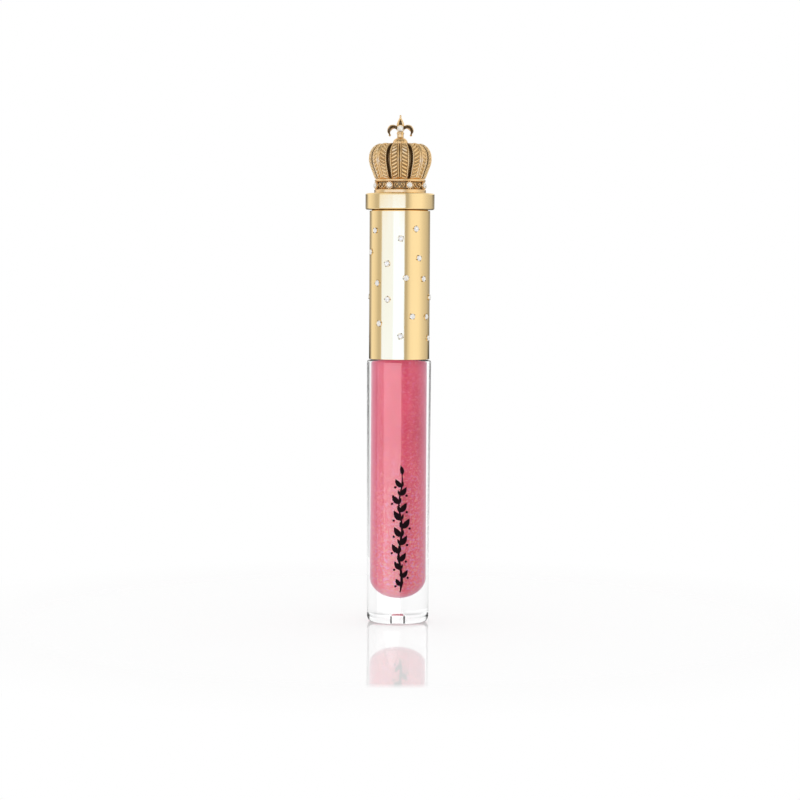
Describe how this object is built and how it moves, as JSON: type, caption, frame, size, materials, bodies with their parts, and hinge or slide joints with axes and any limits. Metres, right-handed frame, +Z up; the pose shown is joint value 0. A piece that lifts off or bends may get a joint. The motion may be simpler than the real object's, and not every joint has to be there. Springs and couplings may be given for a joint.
{
  "type": "lip gloss tube",
  "caption": "Slim clear lip gloss bottle of pink gloss with a wiper, a wand on a gold screw cap set with rhinestones, and a jewelled gold crown on top.",
  "frame": {"origin": "centre of the bottle's base, on the surface the tube stands on", "axes": "+Z up the tube's axis towards the crown, -Y towards the printed front of the bottle"},
  "size_m": [0.0172, 0.0172, 0.1266],
  "materials": {
    "clear_bottle": "clear polished",
    "pink_gloss": "pearly liquid with a fine shimmer",
    "wiper_plastic": "soft translucent moulded",
    "rod_plastic": "smooth moulded",
    "flocked_tip": "flocked",
    "inner_cap_plastic": "moulded",
    "gold_sleeve": "polished gold anodised",
    "gold_collar": "polished gold anodised",
    "antique_gold": "cast, gilt, darkened in the recesses",
    "rhinestone": "cut, foil-backed",
    "crown_crystal": "cut, foil-backed"
  },
  "bodies": {
    "bottle": {"bottle": "clear_bottle", "gloss_fill": "pink_gloss", "wiper": "wiper_plastic"},
    "wand_rod": {"rod": "rod_plastic"},
    "cap": {"inner_cap": "inner_cap_plastic", "cap_sleeve": "gold_sleeve", "cap_collar": "gold_collar", "crown_body": "antique_gold", "crown_finial": "antique_gold", "applicator": "flocked_tip", "crown_crystal_1": "crown_crystal", "crown_crystal_2": "crown_crystal", "crown_crystal_3": "crown_crystal", "crown_crystal_4": "crown_crystal", "crown_crystal_5": "crown_crystal", "crown_crystal_6": "crown_crystal", "crown_crystal_7": "crown_crystal", "crown_crystal_8": "crown_crystal", "finial_crystal_front": "crown_crystal", "finial_crystal_back": "crown_crystal", "stone_01": "rhinestone", "stone_02": "rhinestone", "stone_03": "rhinestone", "stone_04": "rhinestone", "stone_05": "rhinestone", "stone_06": "rhinestone", "stone_07": "rhinestone", "stone_08": "rhinestone", "stone_09": "rhinestone", "stone_10": "rhinestone", "stone_11": "rhinestone", "stone_12": "rhinestone", "stone_13": "rhinestone", "stone_14": "rhinestone", "stone_15": "rhinestone", "stone_16": "rhinestone", "stone_17": "rhinestone", "stone_18": "rhinestone", "stone_19": "rhinestone", "stone_20": "rhinestone", "stone_21": "rhinestone", "stone_22": "rhinestone", "stone_23": "rhinestone", "stone_24": "rhinestone", "stone_25": "rhinestone", "stone_26": "rhinestone", "stone_27": "rhinestone", "stone_28": "rhinestone", "stone_29": "rhinestone", "stone_30": "rhinestone", "stone_31": "rhinestone", "stone_32": "rhinestone"}
  },
  "joints": [
    {"name": "wand_lift", "type": "slide", "parent": "bottle", "child": "wand_rod", "axis": [0, 0, 1], "range_m": [0, 0.08]},
    {"name": "cap_turn", "type": "hinge", "parent": "wand_rod", "child": "cap", "pos_m": [0, 0, 0.0722], "axis": [0, 0, 1], "range_deg": [0, 720]}
  ]
}
